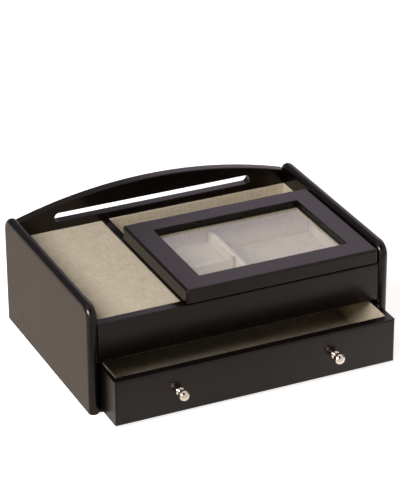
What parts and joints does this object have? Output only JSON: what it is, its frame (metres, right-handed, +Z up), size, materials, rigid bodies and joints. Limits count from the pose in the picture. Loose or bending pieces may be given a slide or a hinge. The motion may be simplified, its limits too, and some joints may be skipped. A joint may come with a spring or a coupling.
{
  "type": "valet box with drawer",
  "caption": "Lacquered valet box: arched back with cable slot, open phone tray, glass-lidded compartment, rear tablet trough and a full-width drawer with knobs.",
  "frame": {"origin": "middle of the case's flat underside, on the surface it stands on, halfway between the side panels' noses", "axes": "+X to the right across the width, +Y to the back, +Z up; the drawer opens along -Y"},
  "size_m": [0.287, 0.2454, 0.1177],
  "materials": {
    "black_lacquer": "satin black lacquer on fibreboard",
    "liner_fabric": "beige brushed lining cloth on card",
    "liner_pad": "beige brushed lining cloth over thin foam",
    "window_glass": "clear flat glass",
    "knob_nickel": "polished nickel plate",
    "hinge_steel": "nickel-plated steel",
    "screw_steel": "zinc-plated steel",
    "dowel_beech": "plain beech",
    "bumper_rubber": "soft translucent dots"
  },
  "bodies": {
    "case": {"back_panel": "black_lacquer", "base_panel": "black_lacquer", "compartment_liner_front": "liner_fabric", "compartment_liner_left": "liner_fabric", "compartment_liner_rear": "liner_fabric", "compartment_liner_right": "liner_fabric", "cufflink_pad_front": "liner_pad", "cufflink_pad_rear": "liner_pad", "dowels_left": "dowel_beech", "dowels_right": "dowel_beech", "drawer_deck": "black_lacquer", "front_panel": "black_lacquer", "hinge_case_leaves": "hinge_steel", "hinge_case_screws": "hinge_steel", "hinge_pins": "hinge_steel", "left_side_panel": "black_lacquer", "lid_bumpers": "bumper_rubber", "long_divider": "liner_fabric", "phone_tray_deck": "black_lacquer", "phone_tray_liner": "liner_fabric", "raised_floor": "black_lacquer", "rear_partition": "black_lacquer", "right_side_panel": "black_lacquer", "short_divider": "liner_fabric", "tray_divider": "black_lacquer", "tray_rear_prop": "black_lacquer", "trough_end_wall": "black_lacquer", "trough_liner_floor": "liner_fabric", "trough_liner_front": "liner_fabric", "trough_liner_left": "liner_fabric", "trough_liner_rear": "liner_fabric", "trough_liner_right": "liner_fabric", "watch_pad": "liner_pad"},
    "lid": {"hinge_lid_leaves": "hinge_steel", "hinge_lid_screws": "hinge_steel", "lid_glass": "window_glass", "lid_lining": "liner_fabric", "lid_rail_front": "black_lacquer", "lid_rail_left": "black_lacquer", "lid_rail_rear": "black_lacquer", "lid_rail_right": "black_lacquer"},
    "drawer": {"drawer_back": "black_lacquer", "drawer_bottom": "black_lacquer", "drawer_floor_pad": "liner_pad", "drawer_front": "black_lacquer", "drawer_liner_front": "liner_fabric", "drawer_liner_left": "liner_fabric", "drawer_liner_rear": "liner_fabric", "drawer_liner_right": "liner_fabric", "drawer_side_left": "black_lacquer", "drawer_side_right": "black_lacquer", "knob_left": "knob_nickel", "knob_right": "knob_nickel", "knob_screws": "screw_steel"}
  },
  "joints": [
    {"name": "lid_hinge", "type": "hinge", "parent": "case", "child": "lid", "pos_m": [0.041, 0.0432, 0.0858], "axis": [-1, 0, 0], "range_deg": [0, 95]},
    {"name": "drawer_slide", "type": "slide", "parent": "case", "child": "drawer", "axis": [0, -1, 0], "range_m": [-0.0342, 0.0658]}
  ]
}
